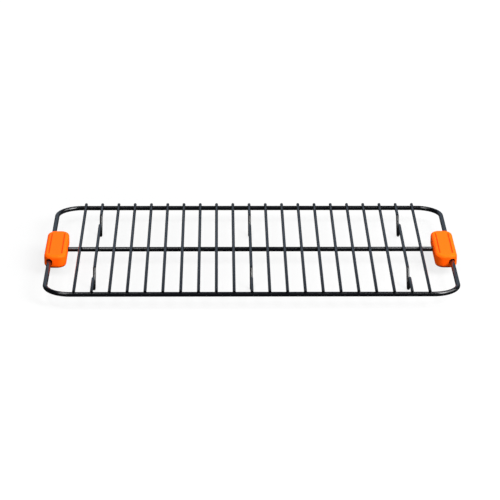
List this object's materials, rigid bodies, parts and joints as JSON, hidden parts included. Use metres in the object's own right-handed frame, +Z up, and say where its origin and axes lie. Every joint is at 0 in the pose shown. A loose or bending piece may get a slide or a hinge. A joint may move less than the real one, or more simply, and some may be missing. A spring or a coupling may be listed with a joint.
{
  "type": "cooling rack",
  "caption": "Rectangular wire cooling rack with a rounded rod frame, bent-wire feet and a moulded grip on each short side.",
  "frame": {"origin": "on the surface that the feet stand on, under the middle of the rack", "axes": "+X along the rack towards the right-hand grip, +Y from front to rear, +Z up"},
  "size_m": [0.406, 0.25, 0.0208],
  "materials": {
    "coated_rod": "near-black satin non-stick coating on round steel rod",
    "coated_wire": "dark slate satin non-stick coating on thin steel wire",
    "grip": "bright orange heat-proof silicone, satin"
  },
  "bodies": {
    "root": {"frame_ring": "coated_rod", "centre_rail": "coated_rod", "cross_wire_01": "coated_wire", "foot_wire_02": "coated_wire", "cross_wire_03": "coated_wire", "cross_wire_04": "coated_wire", "cross_wire_05": "coated_wire", "cross_wire_06": "coated_wire", "cross_wire_07": "coated_wire", "cross_wire_08": "coated_wire", "cross_wire_09": "coated_wire", "cross_wire_10": "coated_wire", "foot_wire_11": "coated_wire", "cross_wire_12": "coated_wire", "cross_wire_13": "coated_wire", "cross_wire_14": "coated_wire", "cross_wire_15": "coated_wire", "cross_wire_16": "coated_wire", "cross_wire_17": "coated_wire", "cross_wire_18": "coated_wire", "cross_wire_19": "coated_wire", "foot_wire_20": "coated_wire", "cross_wire_21": "coated_wire", "left_grip_upper": "grip", "left_grip_lower": "grip", "right_grip_upper": "grip", "right_grip_lower": "grip"}
  },
  "joints": []
}
